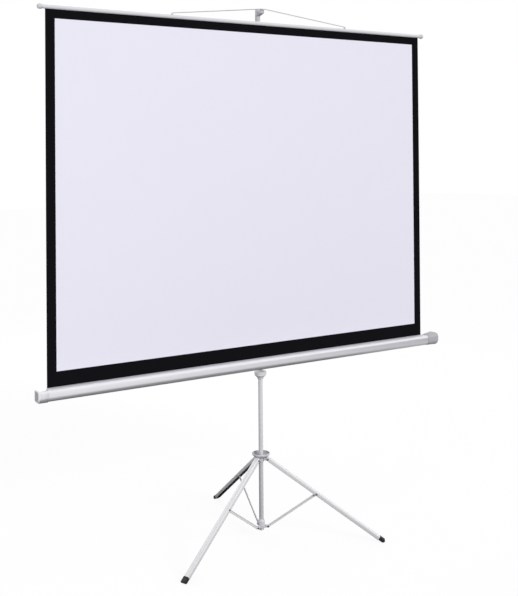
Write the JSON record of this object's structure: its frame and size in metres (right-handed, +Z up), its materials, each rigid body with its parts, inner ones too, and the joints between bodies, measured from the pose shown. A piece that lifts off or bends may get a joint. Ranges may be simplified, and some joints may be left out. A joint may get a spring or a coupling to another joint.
{
  "type": "tripod projection screen",
  "caption": "Portable projection screen: a spring-roller cloth drawn up from a horizontal case to a telescopic mast's hook, on a folding tripod stand.",
  "frame": {"origin": "on the floor under the middle of the whole object's box", "axes": "+Z up; the screen faces -Y; +X to the right as the audience sees it"},
  "size_m": [2.257, 0.981, 2.6211],
  "materials": {
    "pale_metal": "satin",
    "silver_case": "satin",
    "white_metal": "satin",
    "roller_metal": "mill",
    "grey_plastic": "matte",
    "dark_plastic": "matte",
    "steel": "bright",
    "black_rubber": "matte",
    "screen_cloth": "matte white with a black border"
  },
  "bodies": {
    "stand": {"tripod_tube": "pale_metal", "tube_end_plug": "grey_plastic", "bottom_collar": "grey_plastic", "collar_pin_right": "steel", "collar_pin_rear": "steel", "collar_pin_left": "steel", "height_collet": "dark_plastic"},
    "spreader_rear_arm": {"spreader_rear": "pale_metal"},
    "spreader_right_arm": {"spreader_right": "pale_metal"},
    "spreader_left_arm": {"spreader_left": "pale_metal"},
    "leg_rear_arm": {"leg_rear": "pale_metal", "foot_rear": "black_rubber", "leg_pin_rear": "steel"},
    "leg_right_arm": {"leg_right": "pale_metal", "foot_right": "black_rubber", "leg_pin_right": "steel"},
    "leg_left_arm": {"leg_left": "pale_metal", "foot_left": "black_rubber", "leg_pin_left": "steel"},
    "sliding_hub": {"hub": "grey_plastic", "hub_pin_right": "steel", "hub_pin_rear": "steel", "hub_pin_left": "steel"},
    "height_lock": {"height_collar": "grey_plastic"},
    "riser": {"riser_tube": "pale_metal", "case_bracket": "grey_plastic", "pivot_washer": "dark_plastic"},
    "mast_lower_lock": {"mast_lower_collar": "dark_plastic"},
    "mast_lower": {"mast_lower_tube": "pale_metal"},
    "mast_upper_lock": {"mast_upper_collar": "dark_plastic"},
    "mast_upper": {"mast_upper_tube": "pale_metal", "mast_hook": "dark_plastic"},
    "case": {"case_shell": "silver_case", "case_cap_left": "grey_plastic", "case_cap_right": "grey_plastic", "case_pivot_plate": "steel", "pivot_nut": "steel", "roller_gudgeon": "steel", "spring_shaft": "steel", "roller_spring": "steel", "screen_fabric": "screen_cloth"},
    "roller": {"roller_tube": "roller_metal", "roller_plug_right": "dark_plastic", "roller_plug_left": "dark_plastic", "roller_wrap": "screen_cloth"},
    "screen_top": {"top_bar": "white_metal", "bar_cap_right": "dark_plastic", "bar_cap_left": "dark_plastic", "bail": "steel", "bail_eyelet_left": "dark_plastic", "bail_eyelet_right": "dark_plastic"}
  },
  "joints": [
    {"name": "tripod_fold", "type": "hinge", "parent": "stand", "child": "spreader_rear_arm", "pos_m": [0.04338, -0.07848, 0.06018], "axis": [0.9917, -0.1288, 0], "range_deg": [0, 55.4]},
    {"name": "spreader_right_hinge", "type": "hinge", "parent": "stand", "child": "spreader_right_arm", "pos_m": [0.06601, -0.13285, 0.06018], "axis": [-0.6074, -0.7944, 0], "range_deg": [0, 55.4]},
    {"name": "spreader_left_hinge", "type": "hinge", "parent": "stand", "child": "spreader_left_arm", "pos_m": [0.00761, -0.12527, 0.06018], "axis": [-0.3843, 0.9232, 0], "range_deg": [0, 55.4]},
    {"name": "leg_rear_hinge", "type": "hinge", "parent": "spreader_rear_arm", "child": "leg_rear_arm", "pos_m": [0.07434, 0.15987, 0.22599], "axis": [0.9917, -0.1288, 0], "range_deg": [-110.8, 0]},
    {"name": "leg_right_hinge", "type": "hinge", "parent": "spreader_right_arm", "child": "leg_right_arm", "pos_m": [0.25695, -0.27884, 0.22599], "axis": [-0.6074, -0.7944, 0], "range_deg": [-110.8, 0]},
    {"name": "leg_left_hinge", "type": "hinge", "parent": "spreader_left_arm", "child": "leg_left_arm", "pos_m": [-0.21429, -0.21763, 0.22599], "axis": [-0.3843, 0.9232, 0], "range_deg": [-110.8, 0]},
    {"name": "hub_hinge", "type": "hinge", "parent": "leg_rear_arm", "child": "sliding_hub", "pos_m": [0.04338, -0.07848, 0.3918], "axis": [0.9917, -0.1288, 0], "range_deg": [0, 55.4]},
    {"name": "height_lock_turn", "type": "hinge", "parent": "stand", "child": "height_lock", "pos_m": [0.039, -0.1122, 0.8065], "axis": [0, 0, 1], "range_deg": [0, 90]},
    {"name": "height_slide", "type": "slide", "parent": "stand", "child": "riser", "axis": [0, 0, 1], "range_m": [0, 0.45]},
    {"name": "mast_lower_lock_turn", "type": "hinge", "parent": "riser", "child": "mast_lower_lock", "pos_m": [0.039, -0.1122, 0.937], "axis": [0, 0, 1], "range_deg": [0, 90]},
    {"name": "mast_slide", "type": "slide", "parent": "riser", "child": "mast_lower", "axis": [0, 0, -1], "range_m": [0, 0.78]},
    {"name": "mast_upper_lock_turn", "type": "hinge", "parent": "mast_lower", "child": "mast_upper_lock", "pos_m": [0.039, -0.1122, 1.7511], "axis": [0, 0, 1], "range_deg": [0, 90]},
    {"name": "mast_upper_slide", "type": "slide", "parent": "mast_lower", "child": "mast_upper", "axis": [0, 0, -1], "range_m": [0, 0.78]},
    {"name": "case_swivel", "type": "hinge", "parent": "riser", "child": "case", "pos_m": [0.039, -0.15511, 0.8795], "axis": [0, 1, 0], "range_deg": [0, 70]},
    {"name": "screen_slide", "type": "slide", "parent": "case", "child": "screen_top", "axis": [0, 0, -1], "range_m": [0, 1.56], "deforming": ["screen_fabric"]},
    {"name": "roller_spin", "type": "hinge", "parent": "case", "child": "roller", "pos_m": [-0.015, -0.1887, 0.8795], "axis": [-1, 0, 0], "range_deg": [0, 3960]}
  ],
  "couplings": [
    {"joint": "spreader_right_hinge", "follows": "tripod_fold", "ratio": 1},
    {"joint": "spreader_left_hinge", "follows": "tripod_fold", "ratio": 1},
    {"joint": "leg_rear_hinge", "follows": "tripod_fold", "ratio": -2},
    {"joint": "leg_right_hinge", "follows": "tripod_fold", "ratio": -2},
    {"joint": "leg_left_hinge", "follows": "tripod_fold", "ratio": -2},
    {"joint": "hub_hinge", "follows": "tripod_fold", "ratio": 1},
    {"joint": "mast_upper_slide", "follows": "mast_slide", "ratio": 1},
    {"joint": "screen_slide", "follows": "mast_slide", "ratio": 2},
    {"joint": "roller_spin", "follows": "mast_slide", "rad_per_m": 88.5}
  ]
}
